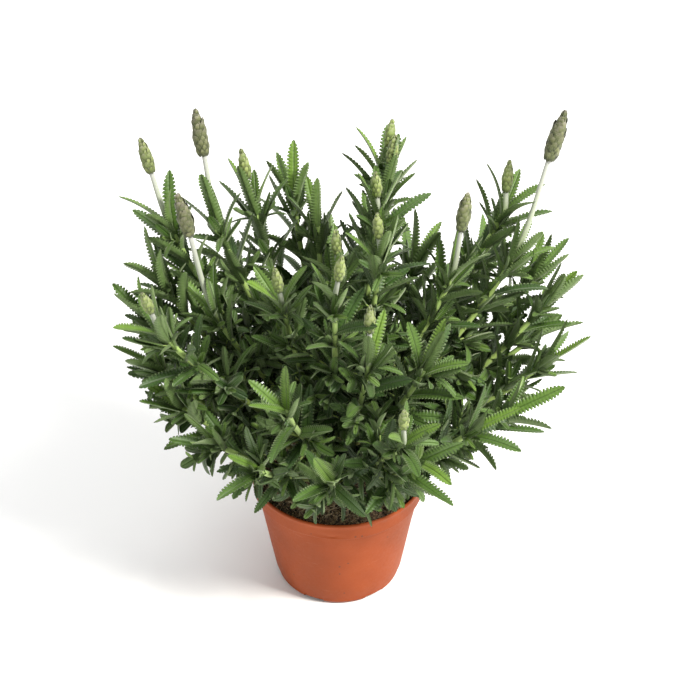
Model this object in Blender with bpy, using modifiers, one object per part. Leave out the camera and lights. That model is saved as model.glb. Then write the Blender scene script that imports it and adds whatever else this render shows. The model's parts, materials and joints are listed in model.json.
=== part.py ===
"""Potted toothed lavender: a thin nursery pot, its soil, and one plant.

The plant is a woody crown, leafy shoots that stand on it, and flower spikes
that stand on the tips of the flowering shoots.  Metres, +Z up.  The origin is
the centre of the flat underside of the pot.
"""

import math

import bmesh
import bpy
from mathutils import Matrix, Quaternion, Vector
from mathutils.bvhtree import BVHTree

MM = 0.001
UP = Vector((0.0, 0.0, 1.0))

# ---- clearances ----
FIT_GAP = 0.3 * MM          # between any two pieces that rest on each other
LEAF_CLEARANCE = 0.35 * MM  # kept round every leaf
STEM_CLEARANCE = 0.3 * MM   # kept round every stem, for the leaves of other shoots
SPIKE_CLEARANCE = 0.4 * MM  # kept round every stalk and head

# ---- pot ----
POT_HEIGHT = 94 * MM
RIM_RADIUS = 65 * MM        # outside of the lip
BASE_RADIUS = 46.5 * MM     # where the wall would meet the floor
POT_WALL = 1.2 * MM
LIP_HEIGHT = 3.0 * MM
LIP_OVERHANG = 0.9 * MM     # lip bead beyond the collar
COLLAR_HEIGHT = 14.5 * MM   # from the top of the lip to the step
COLLAR_DRAFT = 0.6 * MM     # the collar narrows by this much downwards
STEP_WIDTH = 2.4 * MM       # how far the body sits inside the collar
STEP_DROP = 2.4 * MM        # height of the slope from the collar to the body
BASE_ROUNDING = 4.5 * MM    # radius of the bottom edge
POT_STEPS = 44

# ---- drain notches in the bottom edge ----
NOTCH_COUNT = 6
NOTCH_WIDTH = 16 * MM
NOTCH_HEIGHT = 3.6 * MM
NOTCH_REACH = 9 * MM        # from the base radius inwards
NOTCH_TURN = math.radians(-54)

# ---- soil ----
SOIL_BELOW_RIM = 6 * MM     # at the wall
SOIL_MOUND = 4 * MM         # the middle stands higher by this much
SOIL_STEPS = 32

# ---- crown ----
CROWN_RADIUS = 24 * MM
CROWN_DOME = 13 * MM        # above the soil
CROWN_SEAT = 8 * MM         # below the soil
CROWN_STEPS = 24

# ---- shoots ----
STEM_FOOT = 3.6 * MM        # width of the square stem at the crown
STEM_TIP = 2.6 * MM
NODE_LENGTH = 1.7 * MM      # the bit of stem that carries a pair of leaves
NODE_PITCH = 23 * MM        # between leaf pairs
TIP_PITCH = 12 * MM         # between the last leaf pairs
PITCH_GROWTH = 4 * MM       # each pitch is longer than the one above it by this much
TIP_BARE = 3 * MM           # from the last leaf pair to the end of the stem
BARE_SHARE = 0.34           # lower part of each stem without leaves
FOOT_SPACING = 5.8 * MM
FEET_SHARE = 0.9            # share of the crown's radius that the feet keep within
FEET_CORE = 0.12            # share of the crown's radius at which an upright shoot stands
FEET_LEAN = 0.87            # further share for each radian that a shoot leans
STEM_STIFFNESS = 0.36       # share of its length in which a stem leaves the crown straight
TIP_STIFFNESS = 0.3         # share of its length in which a stem arrives at its tip straight
TIP_UPTURN = 0.35           # how strongly the tip turns upwards

# ---- leaves ----
LEAF_LENGTH = 41 * MM       # of the longest pair
LONGEST_RANK = 0.4          # place of the longest pair, from 0 at the lowest to 1 at the last
LEAF_TAPER = 0.58           # how fast the pairs below and above it get shorter
LEAF_WIDTH = 8.2 * MM
LEAF_THICKNESS = 1.2 * MM
LEAF_THINNING = 0.4         # share of the thickness lost from the stem to the tip
LEAF_OUTLINE = [(0.22, 0.5), (0.6, 1.0), (1.0, 0.34)]  # share of the length, share of the width
LEAF_LOW_ANGLE = math.radians(74)   # from the stem, lowest pair
LEAF_TOP_ANGLE = math.radians(24)   # from the stem, last pair
LEAF_ARCH = math.radians(26)        # turn of the leaf's course from its root to its tip
LEAF_DROOP = 0.13                   # sag of the tip, as a share of the length
LEAF_POSES = [  # share of the length, change of angle: tried in turn until a leaf grows clear
    (1.0, 0.0), (1.0, -0.14), (1.0, 0.16), (1.0, -0.3), (1.0, 0.34),
    (0.82, 0.0), (0.82, -0.14), (0.82, 0.16), (0.82, -0.3), (0.82, 0.34),
    (0.62, 0.0), (0.62, -0.14), (0.62, 0.16), (0.62, -0.3), (0.62, 0.34),
]
LEAF_TWISTS = [0.0, 0.3, -0.3]      # round the stem, tried in each pose

# ---- flower spikes ----
STALK_WIDTH = 2.8 * MM
STALK_STIFFNESS = 0.35      # share of its length in which a stalk leaves its stem straight
HEAD_STIFFNESS = 0.34       # share of its length in which a stalk arrives at its head straight
HEAD_UPTURN = 0.12          # how strongly the head turns upwards
STALK_INSET = 1.5 * MM      # the stalk starts to widen this far below the head
HEAD_WIDTH = 5.4 * MM       # of a head, before its share of the length
HEAD_WIDTH_SHARE = 0.13
HEAD_OUTLINE = [  # share of the length, share of the half width
    (0.0, 0.3), (0.12, 0.85), (0.26, 0.75), (0.42, 1.0), (0.6, 0.78), (0.76, 0.8), (1.0, 0.2),
]

# Tip of each shoot: compass angle in degrees, reach from the pot's axis and height above its lip, in mm.
FLOWERING_TIPS = [
    (163, 123, 191), (147, 101, 178), (180, 85, 138), (-162, 126, 152),
    (127, 100, 179), (-143, 47, 168), (-87, 12, 180), (-92, 50, 186), (69, 91, 201),
    (62, 72, 206), (45, 40, 206), (-27, 33, 198), (-70, 62, 140), (-66, 109, 104),
    (11, 81, 160), (25, 130, 191), (14, 127, 166),
]
LEAFY_TIPS = [
    (178, 133, 134), (-172, 128, 109), (-161, 116, 88), (-143, 106, 76),
    (-123, 101, 70), (108, 106, 172), (36, 124, 132), (25, 157, 128),
    (14, 154, 124), (0, 147, 98), (-16, 124, 79), (-32, 110, 82), (-57, 101, 76),
    (-92, 100, 71), (-113, 88, 118), (-40, 78, 130), (63, 124, 107), (92, 144, 88),
    (124, 145, 96), (174, 123, 158), (102, 71, 169), (18, 148, 86),
]
# Foot of each flower head, as above, and the length of the head in mm.
FLOWER_HEADS = [
    (161, 137, 230, 27), (142, 120, 226, 36), (180, 101, 207, 36),
    (-160, 134, 175, 21), (126, 111, 197, 22), (-142, 50, 182, 21),
    (-91, 11, 199, 19), (-89, 51, 205, 20), (69, 101, 221, 20), (62, 79, 221, 22),
    (48, 41, 219, 19), (-28, 32, 215, 20), (-70, 64, 169, 23), (-67, 114, 122, 20),
    (13, 88, 198, 31), (27, 134, 204, 23), (17, 153, 240, 40),
]


def clear_scene():
    for obj in list(bpy.data.objects):
        bpy.data.objects.remove(obj, do_unlink=True)


def make_collection(name):
    made = bpy.data.collections.new(name)
    bpy.context.scene.collection.children.link(made)
    return made


def make_material(name, colour, roughness):
    made = bpy.data.materials.new(name)
    made.use_nodes = True
    shader = made.node_tree.nodes["Principled BSDF"]
    shader.inputs["Base Color"].default_value = (*colour, 1.0)
    shader.inputs["Roughness"].default_value = roughness
    shader.inputs["Metallic"].default_value = 0.0
    made.diffuse_color = (*colour, 1.0)
    return made


def add_object(name, data, collection, material=None):
    obj = bpy.data.objects.new(name, data)
    collection.objects.link(obj)
    if material:
        obj.data.materials.append(material)
    return obj


def finish_mesh(bm, name):
    bmesh.ops.recalc_face_normals(bm, faces=bm.faces)
    data = bpy.data.meshes.new(name)
    bm.to_mesh(data)
    bm.free()
    return data


def turned(name, profile, steps, collection, material):
    """A solid of revolution from (radius, height) points that run down the outside, with a Screw."""
    data = bpy.data.meshes.new(name)
    points = [(radius, 0.0, height) for radius, height in profile]
    edges = [(i, i + 1) for i in range(len(points) - 1)]
    if profile[0][0] > 0:
        edges.append((len(points) - 1, 0))
    data.from_pydata(points, edges, [])
    obj = add_object(name, data, collection, material)
    screw = obj.modifiers.new("turn", "SCREW")
    screw.axis = "Z"
    screw.angle = math.tau
    screw.steps = screw.render_steps = steps
    screw.use_merge_vertices = True
    screw.merge_threshold = 0.00005
    screw.use_smooth_shade = True
    return obj


def corner_arc(centre, radius, start, end, count):
    """Points of a rounded corner, from start to end in degrees."""
    points = []
    for i in range(count + 1):
        angle = math.radians(start + (end - start) * i / count)
        points.append((centre[0] + radius * math.cos(angle), centre[1] + radius * math.sin(angle)))
    return points


def body_radius(height):
    """Outside radius of the pot's tapered body."""
    top = POT_HEIGHT - COLLAR_HEIGHT
    return BASE_RADIUS + (RIM_RADIUS - LIP_OVERHANG - COLLAR_DRAFT - STEP_WIDTH - BASE_RADIUS) * height / top


def pot_profile():
    step = POT_HEIGHT - COLLAR_HEIGHT
    collar = RIM_RADIUS - LIP_OVERHANG
    low = collar - COLLAR_DRAFT
    lip = LIP_HEIGHT / 2
    outside = corner_arc((RIM_RADIUS - lip, POT_HEIGHT - lip), lip, 90, -20, 4)
    outside += [(collar, POT_HEIGHT - LIP_HEIGHT - 0.4 * MM), (low, step)]
    outside += [(low - STEP_WIDTH * 0.55, step - 0.9 * MM)]
    outside += [(body_radius(step - STEP_DROP), step - STEP_DROP)]
    outside += corner_arc((body_radius(0.0) - BASE_ROUNDING, BASE_ROUNDING), BASE_ROUNDING, 4, -90, 4)
    inside_rounding = BASE_ROUNDING - POT_WALL
    inside = [(0.0, 0.0), (0.0, POT_WALL)]
    inside += corner_arc((body_radius(0.0) - BASE_ROUNDING, BASE_ROUNDING), inside_rounding, -90, 4, 3)
    inside += [(body_radius(step - STEP_DROP) - POT_WALL, step - STEP_DROP), (low - POT_WALL, step + 0.4 * MM)]
    inside += [(collar - POT_WALL, POT_HEIGHT - lip)]
    return outside + inside


def make_pot(collection, cutters, material):
    profile = pot_profile()
    axis = profile.index((0.0, 0.0))
    # The open profile starts and ends on the axis.
    pot = turned("pot", profile[axis + 1:] + profile[:axis + 1], POT_STEPS, collection, material)
    bm = bmesh.new()
    size = (NOTCH_REACH + BASE_ROUNDING, NOTCH_WIDTH, 2 * NOTCH_HEIGHT)
    for i in range(NOTCH_COUNT):
        turn = Matrix.Rotation(NOTCH_TURN + math.tau * i / NOTCH_COUNT, 4, "Z")
        out = Matrix.Translation((BASE_RADIUS - NOTCH_REACH + size[0] / 2, 0.0, 0.0))
        bmesh.ops.create_cube(bm, size=1.0, matrix=turn @ out @ Matrix.Diagonal((*size, 1.0)))
    cutter = add_object("notch_cutter", finish_mesh(bm, "notch_cutter"), cutters)
    cutter.hide_render = True
    cutter.display_type = "WIRE"
    cut = pot.modifiers.new("notches", "BOOLEAN")
    cut.operation = "DIFFERENCE"
    cut.solver = "EXACT"
    cut.object = cutter
    return pot


def make_soil(collection, material):
    step = POT_HEIGHT - COLLAR_HEIGHT
    wall = POT_WALL + FIT_GAP
    edge = POT_HEIGHT - SOIL_BELOW_RIM
    seat = CROWN_RADIUS + FIT_GAP
    floor = POT_WALL + FIT_GAP
    rounding = BASE_ROUNDING
    inner = body_radius(0.0) - wall
    profile = [(0.0, soil_height(0.0) - CROWN_SEAT - FIT_GAP), (seat, soil_height(0.0) - CROWN_SEAT - FIT_GAP)]
    profile += [(seat, soil_height(seat)), (0.5 * (seat + RIM_RADIUS), soil_height(0.5 * (seat + RIM_RADIUS)))]
    profile += [(RIM_RADIUS - LIP_OVERHANG - wall - 0.4 * MM, edge)]
    profile += [(RIM_RADIUS - LIP_OVERHANG - COLLAR_DRAFT - wall - 0.2 * MM, step + 1.2 * MM)]
    profile += [(body_radius(step - STEP_DROP) - wall, step - STEP_DROP + 0.4 * MM)]
    profile += corner_arc((inner - rounding, floor + rounding), rounding, 0, -90, 3)
    profile += [(0.0, floor)]
    return turned("soil", profile, SOIL_STEPS, collection, material)


def soil_height(radius):
    """Height of the soil's surface at a distance from the axis."""
    share = min(radius / (RIM_RADIUS - POT_WALL), 1.0)
    return POT_HEIGHT - SOIL_BELOW_RIM + SOIL_MOUND * (1.0 - share * share)


def crown_surface(radius):
    """Height and outward normal of the crown's dome, in the plane through the axis."""
    base = soil_height(CROWN_RADIUS)
    share = radius / CROWN_RADIUS
    rise = math.sqrt(max(1.0 - share * share, 0.0))
    normal = Vector((share / CROWN_RADIUS, 0.0, rise / CROWN_DOME)).normalized()
    return base + CROWN_DOME * rise, normal


def make_crown(collection, material):
    seat = soil_height(0.0) - CROWN_SEAT
    profile = []
    for i in range(9):
        radius = CROWN_RADIUS * math.sin(math.radians(90 * i / 8))
        profile.append((radius, crown_surface(radius)[0]))
    profile += [(CROWN_RADIUS, seat + 2 * MM), (CROWN_RADIUS - 2 * MM, seat), (0.0, seat)]
    return turned("crown", profile, CROWN_STEPS, collection, material)


def at(angle, reach, height):
    """A point from its compass angle in degrees, and its reach and height above the lip in mm."""
    turn = math.radians(angle)
    return Vector((reach * math.cos(turn), reach * math.sin(turn), height)) * MM + UP * POT_HEIGHT


def spread_feet(tips):
    """Where each shoot stands on the crown: below its tip's direction, moved apart from its neighbours."""
    feet = []
    for angle, reach, height in tips:
        lean = math.atan2(reach, height)
        way = at(angle, 1, 0).xy.normalized().to_3d()
        feet.append(way * CROWN_RADIUS * min(FEET_CORE + FEET_LEAN * lean, FEET_SHARE))
    for _ in range(200):
        for i, one in enumerate(feet):
            for other in feet[i + 1:]:
                apart = other - one
                short = FOOT_SPACING - apart.length
                if short > 0:
                    push = apart.normalized() * short * 0.5
                    one -= push
                    other += push
        for foot in feet:
            most = FEET_SHARE * CROWN_RADIUS
            if foot.length > most:
                foot *= most / foot.length
    return feet


def bezier(points, share):
    a, b, c, d = points
    left = 1.0 - share
    return a * left**3 + b * (3 * left**2 * share) + c * (3 * left * share**2) + d * share**3


def bezier_slope(points, share):
    a, b, c, d = points
    left = 1.0 - share
    slope = (b - a) * left**2 + (c - b) * (2 * left * share) + (d - c) * share**2
    return slope.normalized()


def shoot_curve(foot, tip):
    """Control points of a stem that leaves the crown squarely and turns up towards its tip."""
    height, normal = crown_surface(foot.length)
    turn = Quaternion(UP, math.atan2(foot.y, foot.x))
    leave = turn @ normal
    start = Vector((foot.x, foot.y, height)) + leave * FIT_GAP
    span = (tip - start).length
    arrive = ((tip - start).normalized() + UP * TIP_UPTURN).normalized()
    return [start, start + leave * span * STEM_STIFFNESS, tip - arrive * span * TIP_STIFFNESS, tip]


def stalk_curve(stem, head):
    """Control points of a flower stalk that carries on from the tip of its stem."""
    arrive = bezier_slope(stem, 1.0)
    start = stem[3] + arrive * FIT_GAP
    span = (head - start).length
    rise = ((head - start).normalized() + UP * HEAD_UPTURN).normalized()
    return [start, start + arrive * span * STALK_STIFFNESS, head - rise * span * HEAD_STIFFNESS, head]


def frames_along(points, shares):
    """Point, direction and a side vector at each share of the curve, without twist."""
    frames = []
    side = None
    for share in shares:
        along = bezier_slope(points, share)
        if side is None:
            side = along.cross(Vector((along.y, -along.x, 0.3))).normalized()
        side = (side - along * side.dot(along)).normalized()
        frames.append((bezier(points, share), along, side))
    return frames


def node_shares(points):
    """Shares of the stem's length at which a pair of leaves grows, from the tip down."""
    length = sum((bezier(points, (i + 1) / 20) - bezier(points, i / 20)).length for i in range(20))
    shares = []
    back = TIP_BARE
    while back < length * (1.0 - BARE_SHARE):
        shares.append(1.0 - back / length)
        back += min(TIP_PITCH + PITCH_GROWTH * len(shares), NODE_PITCH)
    return shares[::-1]


def leaf_sections(foot, along, out, length, angle, twist):
    """Centre, width direction, thickness direction, width and thickness at each section of a leaf."""
    out = Quaternion(along, twist) @ out
    across = along.cross(out).normalized()
    sections = []
    for share, width in LEAF_OUTLINE:
        sag = angle + LEAF_ARCH * (share - 0.5)
        course = along * math.cos(sag) + out * math.sin(sag)
        centre = foot + course * length * share
        centre.z -= LEAF_DROOP * length * share * share * math.sin(angle)
        over = across.cross(course).normalized()
        thickness = LEAF_THICKNESS * (1.0 - LEAF_THINNING * share)
        sections.append((centre, across, over, LEAF_WIDTH * width, thickness))
    return sections


def section_corners(section, grow=0.0):
    centre, across, over, width, thickness = section
    half = across * (width / 2 + grow)
    rise = over * (thickness / 2 + grow)
    return [centre - half + rise, centre + half + rise, centre + half - rise, centre - half - rise]


def ring_corners(point, along, side, width):
    """Corners of the square stem, starting at the side vector and going round."""
    other = along.cross(side)
    half = width / 2
    return [point + side * half - other * half, point + side * half + other * half,
            point - side * half + other * half, point - side * half - other * half]


def tube_tree(rings):
    """Search tree of a closed four-sided tube through the given rings."""
    corners = [corner for ring in rings for corner in ring]
    faces = [(0, 1, 2, 3)]
    for k in range(len(rings) - 1):
        for i in range(4):
            j = (i + 1) % 4
            faces.append((4 * k + i, 4 * k + j, 4 * k + 4 + j, 4 * k + 4 + i))
    last = 4 * len(rings) - 4
    faces.append((last + 3, last + 2, last + 1, last))
    return BVHTree.FromPolygons(corners, faces)


def stem_width(share):
    return STEM_FOOT + (STEM_TIP - STEM_FOOT) * share


def plan_leaves(index, curve, obstacles):
    """Every leaf of a shoot that grows clear of what stands round it."""
    shares = node_shares(curve)
    frames = frames_along(curve, shares)
    count = len(shares)
    plan = []
    for k, (share, (point, along, side)) in enumerate(zip(shares, frames)):
        rank = k / max(count - 1, 1)
        if (k + index) % 2:
            side = along.cross(side)
        length = LEAF_LENGTH * (1.0 - LEAF_TAPER * (rank - LONGEST_RANK) ** 2)
        angle = LEAF_LOW_ANGLE + (LEAF_TOP_ANGLE - LEAF_LOW_ANGLE) * rank**1.2
        pair = []
        for sign in (1, -1):
            foot = point + side * sign * stem_width(share) / 2
            sections = clear_leaf(foot, along, side * sign, length, angle, stem_width(share), obstacles)
            if sections:
                pair.append((sections, side * sign))
        plan.append((point, along, side, pair, share))
    return plan


def clear_leaf(foot, along, out, length, angle, root_width, obstacles):
    """The first of a few leaf poses that touches nothing, or None."""
    for shorter, bend in LEAF_POSES:
        for twist in LEAF_TWISTS:
            sections = leaf_sections(foot, along, out, length * shorter, angle + bend, twist)
            rings = [section_corners(s, LEAF_CLEARANCE) for s in sections]
            root = (foot + out * LEAF_CLEARANCE, along.cross(out), along, root_width, NODE_LENGTH)
            tree = tube_tree([section_corners(root), *rings])
            if not any(tree.overlap(other) for other in obstacles):
                obstacles.append(tree)
                return sections
    return None


def shape_to(face, corners):
    """Moves a face's corners to the given points, in the order of its loops."""
    for loop, corner in zip(face.loops, corners):
        loop.vert.co = corner


def extrude_to(bm, face, corners):
    """Extrudes a four-cornered face and moves its new corners."""
    made = bmesh.ops.extrude_discrete_faces(bm, faces=[face])["faces"][0]
    shape_to(made, corners)
    return made


def side_face(cap, edge_index):
    edge = cap.loops[edge_index].edge
    return next(face for face in edge.link_faces if face is not cap)


def extrude_leaf(bm, face, sections, down):
    """Draws a leaf blade out of one side face of the stem; down points along the stem to its foot."""
    centre = face.calc_center_median()
    under = down
    for section in sections:
        _, across, over, width, thickness = section
        corners = []
        for loop in face.loops:
            off = loop.vert.co - centre
            wide = math.copysign(width / 2, off.dot(across))
            thick = math.copysign(thickness / 2, off.dot(under))
            corners.append(section[0] + across * wide + over * thick)
        face = extrude_to(bm, face, corners)
        centre = section[0]
        under = over


def shoot_mesh(name, curve, plan):
    """One stem with its leaves, all drawn out of the same body."""
    bm = bmesh.new()
    point, along, side = frames_along(curve, [0.0])[0]
    bmesh.ops.create_circle(bm, cap_ends=True, radius=STEM_FOOT, segments=4)
    bm.faces.ensure_lookup_table()
    cap = bm.faces[0]
    shape_to(cap, ring_corners(point, along, side, STEM_FOOT))
    grown = bmesh.ops.extrude_face_region(bm, geom=[cap])["geom"]
    cap = next(item for item in grown if isinstance(item, bmesh.types.BMFace))
    first_share = plan[0][4]
    rings = []
    for share in (first_share * 0.35, first_share * 0.7):
        here, course, turn = frames_along(curve, [0.0, share])[1]
        rings.append((ring_corners(here, course, turn, stem_width(share)), (), None))
    for point, along, side, pair, share in plan:
        half = along * NODE_LENGTH / 2
        width = stem_width(share)
        rings.append((ring_corners(point - half, along, side, width), (), None))
        rings.append((ring_corners(point + half, along, side, width), pair, -along))
    tip, along, side = frames_along(curve, [0.0, 1.0])[1]
    rings.append((ring_corners(tip, along, side, STEM_TIP), (), None))
    shape_to(cap, match_corners(cap, rings[0][0]))
    leaves = []
    for corners, pair, down in rings[1:]:
        cap = extrude_to(bm, cap, match_corners(cap, corners))
        for sections, out in pair:
            leaves.append((side_towards(cap, out), sections, down))
    for face, sections, down in leaves:
        extrude_leaf(bm, face, sections, down)
    return finish_mesh(bm, name)


def match_corners(cap, new):
    """The new ring's corners, started where they follow the cap's corners without a twist."""
    old = [loop.vert.co for loop in cap.loops]

    def cost(start, step):
        return sum((old[i] - new[(start + step * i) % 4]).length for i in range(4))

    start, step = min(((s, d) for s in range(4) for d in (1, -1)), key=lambda pick: cost(*pick))
    return [new[(start + step * i) % 4] for i in range(4)]


def side_towards(cap, out):
    """The side face just below the cap that looks the same way as the leaf."""
    middle = cap.calc_center_median()
    faces = [side_face(cap, i) for i in range(4)]
    return max(faces, key=lambda face: (face.calc_center_median() - middle).dot(out))


def head_width(length):
    return HEAD_WIDTH + HEAD_WIDTH_SHARE * length


def spike_object(name, curve, head_length, collection, material):
    """Stalk and bud head in one bevelled curve, thick where the whorls of buds are."""
    along = bezier_slope(curve, 1.0)
    stations = [(bezier(curve, share), STALK_WIDTH / 2) for share in (0.0, 0.35, 0.7)]
    stations.append((curve[3] - along * STALK_INSET, STALK_WIDTH / 2))
    radius = head_width(head_length) / 2
    for share, width in HEAD_OUTLINE:
        stations.append((curve[3] + along * head_length * share, radius * width))
    data = bpy.data.curves.new(name, "CURVE")
    data.dimensions = "3D"
    data.bevel_depth = 1.0
    data.bevel_resolution = 1
    data.use_fill_caps = True
    spline = data.splines.new("POLY")
    spline.points.add(len(stations) - 1)
    for spot, (point, width) in zip(spline.points, stations):
        spot.co = (*point, 1.0)
        spot.radius = width
    return add_object(name, data, collection, material)


def make_plant(collection, materials, fixed):
    tips = FLOWERING_TIPS + LEAFY_TIPS
    stems = [shoot_curve(foot, at(*tip)) for foot, tip in zip(spread_feet(tips), tips)]
    stalks = [stalk_curve(stem, at(*head[:3])) for stem, head in zip(stems, FLOWER_HEADS)]
    standing = list(fixed)
    for stalk, head in zip(stalks, FLOWER_HEADS):
        length = head[3] * MM
        along = bezier_slope(stalk, 1.0)
        thick = head_width(length) + 2 * SPIKE_CLEARANCE
        thin = STALK_WIDTH + 2 * SPIKE_CLEARANCE
        rings = [ring_corners(*frame, thin) for frame in frames_along(stalk, [0.0, 0.33, 0.66, 0.98])]
        side = frames_along(stalk, [0.0, 1.0])[1][2]
        for share in (0.0, 1.0):
            rings.append(ring_corners(stalk[3] + along * length * share, along, side, thick))
        standing.append(tube_tree(rings))
    stem_trees = []
    for stem in stems:
        shares = [i / 10 for i in range(11)]
        frames = frames_along(stem, shares)
        rings = [ring_corners(*frame, stem_width(s) + 2 * STEM_CLEARANCE) for frame, s in zip(frames, shares)]
        stem_trees.append(tube_tree(rings))
    leaves = []
    for i, stem in enumerate(stems):
        name = f"shoot_{i + 1:02d}"
        around = standing + stem_trees[:i] + stem_trees[i + 1:] + leaves
        before = len(around)
        plan = plan_leaves(i, stem, around)
        leaves += around[before:]
        add_object(name, shoot_mesh(name, stem, plan), collection, materials["leaf"])
    for i, (stalk, head) in enumerate(zip(stalks, FLOWER_HEADS)):
        spike_object(f"flower_spike_{i + 1:02d}", stalk, head[3] * MM, collection, materials["flower"])


def main():
    clear_scene()
    collection = make_collection("potted_lavender")
    cutters = make_collection("cutters")
    materials = {
        "pot": make_material("terracotta_plastic", (0.60, 0.155, 0.07), 0.5),
        "soil": make_material("peat_soil", (0.035, 0.022, 0.013), 0.95),
        "wood": make_material("woody_base", (0.16, 0.11, 0.065), 0.9),
        "leaf": make_material("leaf_green", (0.085, 0.17, 0.045), 0.6),
        "flower": make_material("bud_green", (0.20, 0.21, 0.115), 0.8),
    }
    pot = make_pot(collection, cutters, materials["pot"])
    soil = make_soil(collection, materials["soil"])
    crown = make_crown(collection, materials["wood"])
    bpy.context.view_layer.update()
    graph = bpy.context.evaluated_depsgraph_get()
    fixed = [BVHTree.FromObject(obj, graph) for obj in (pot, soil, crown)]
    make_plant(collection, materials, fixed)


main()
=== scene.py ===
import json
import math
import random

import bmesh
import bpy
from mathutils import Matrix, Quaternion, Vector, noise

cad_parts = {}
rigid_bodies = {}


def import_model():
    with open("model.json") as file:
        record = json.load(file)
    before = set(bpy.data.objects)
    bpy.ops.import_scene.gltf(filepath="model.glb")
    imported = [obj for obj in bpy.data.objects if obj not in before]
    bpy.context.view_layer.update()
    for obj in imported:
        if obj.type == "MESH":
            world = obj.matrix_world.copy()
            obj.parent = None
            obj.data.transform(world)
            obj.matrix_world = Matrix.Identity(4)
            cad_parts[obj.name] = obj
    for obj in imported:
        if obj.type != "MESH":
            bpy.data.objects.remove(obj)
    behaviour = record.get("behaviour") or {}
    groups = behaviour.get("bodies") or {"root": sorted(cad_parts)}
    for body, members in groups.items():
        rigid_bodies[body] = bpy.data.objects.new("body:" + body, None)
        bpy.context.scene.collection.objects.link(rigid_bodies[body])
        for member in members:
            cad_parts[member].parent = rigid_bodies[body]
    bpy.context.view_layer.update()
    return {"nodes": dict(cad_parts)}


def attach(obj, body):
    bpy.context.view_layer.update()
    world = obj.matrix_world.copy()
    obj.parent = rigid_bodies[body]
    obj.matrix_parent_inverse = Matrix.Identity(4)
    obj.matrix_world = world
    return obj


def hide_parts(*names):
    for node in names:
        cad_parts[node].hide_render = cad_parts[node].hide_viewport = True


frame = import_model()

mm = 0.001
up = Vector((0.0, 0.0, 1.0))
print("frame loaded:", len(frame["nodes"]), "solids")


# node helpers

def put(tree, kind, **settings):
    node = tree.nodes.new(kind)
    for name, value in settings.items():
        setattr(node, name, value)
    return node


def feed(tree, node, **values):
    # sockets by name with spaces left out, so feed(tree, n, BaseColor=...) works
    for key, value in values.items():
        socket = next(s for s in node.inputs if s.enabled and s.name.replace(" ", "") == key)
        if isinstance(value, bpy.types.NodeSocket):
            tree.links.new(value, socket)
        else:
            socket.default_value = value
    return node


def out(node, name=None):
    if name is None:
        return next(s for s in node.outputs if s.enabled)
    return next(s for s in node.outputs if s.enabled and s.name == name)


def calc(tree, operation, *terms):
    node = put(tree, "ShaderNodeMath", operation=operation)
    for socket, term in zip(node.inputs, terms):
        if isinstance(term, bpy.types.NodeSocket):
            tree.links.new(term, socket)
        else:
            socket.default_value = term
    return node.outputs[0]


def times(tree, one, other):
    return calc(tree, "MULTIPLY", one, other)


def plus(tree, one, other):
    return calc(tree, "ADD", one, other)


def minus(tree, one, other):
    return calc(tree, "SUBTRACT", one, other)


def scaled(tree, value, by, shift):
    return calc(tree, "MULTIPLY_ADD", value, by, shift)


def ramp(tree, factor, *stops):
    # colour ramp from (position, colour) stops
    node = put(tree, "ShaderNodeValToRGB")
    band = node.color_ramp
    while len(band.elements) < len(stops):
        band.elements.new(0.5)
    for element, (place, colour) in zip(band.elements, stops):
        element.position = place
        element.color = (*colour, 1.0)
    tree.links.new(factor, node.inputs[0])
    return node.outputs[0]


def fade(tree, value, low, high, start=0, end=1):
    # a grey that runs from start to end while the value climbs from low to high
    return ramp(tree, value, (low, (start,) * 3), (high, (end,) * 3))


def mixColour(tree, factor, one, other):
    node = put(tree, "ShaderNodeMix", data_type="RGBA")
    for socket, value in ((node.inputs["Factor"], factor), (node.inputs[6], one), (node.inputs[7], other)):
        if isinstance(value, bpy.types.NodeSocket):
            tree.links.new(value, socket)
        elif isinstance(value, tuple):
            socket.default_value = (*value, 1.0)
        else:
            socket.default_value = value
    return node.outputs[2]


def noiseAt(tree, place, scale, detail=3.0, roughness=0.5):
    node = put(tree, "ShaderNodeTexNoise")
    feed(tree, node, Vector=place, Scale=scale, Detail=detail, Roughness=roughness)
    return node.outputs[0]


def objectPlace(tree):
    return out(put(tree, "ShaderNodeTexCoord"), "Object")


def stretched(tree, place, scale):
    return out(feed(tree, put(tree, "ShaderNodeMapping"), Vector=place, Scale=scale))


def attribute(tree, name):
    return out(put(tree, "ShaderNodeAttribute", attribute_name=name), "Fac")


def newMaterial(name):
    made = bpy.data.materials.new(name)
    made.use_nodes = True
    shader = made.node_tree.nodes["Principled BSDF"]
    return made, made.node_tree, shader


def bump(tree, shader, height, strength, distance):
    node = put(tree, "ShaderNodeBump")
    feed(tree, node, Height=height, Strength=strength, Distance=distance)
    tree.links.new(node.outputs[0], shader.inputs["Normal"])


def makeDowny(shader, weight, roughness):
    # fine hairs that catch the light
    shader.inputs["Sheen Weight"].default_value = weight
    shader.inputs["Sheen Roughness"].default_value = roughness


# mesh helpers

def addPiece(name, data):
    piece = bpy.data.objects.new(name, data)
    bpy.context.scene.collection.objects.link(piece)
    return piece


def meshFrom(bm, name, smooth=True):
    data = bpy.data.meshes.new(name)
    bm.to_mesh(data)
    bm.free()
    for face in data.polygons:
        face.use_smooth = smooth
    return data


def freeze(piece, name=None):
    # the evaluated shape becomes a plain mesh piece, and the live one goes
    bpy.context.view_layer.update()
    graph = bpy.context.evaluated_depsgraph_get()
    data = bpy.data.meshes.new_from_object(
        piece.evaluated_get(graph), preserve_all_data_layers=True, depsgraph=graph
    )
    name = name or piece.name
    bpy.data.objects.remove(piece, do_unlink=True)
    data.name = name
    return addPiece(name, data)


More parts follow.
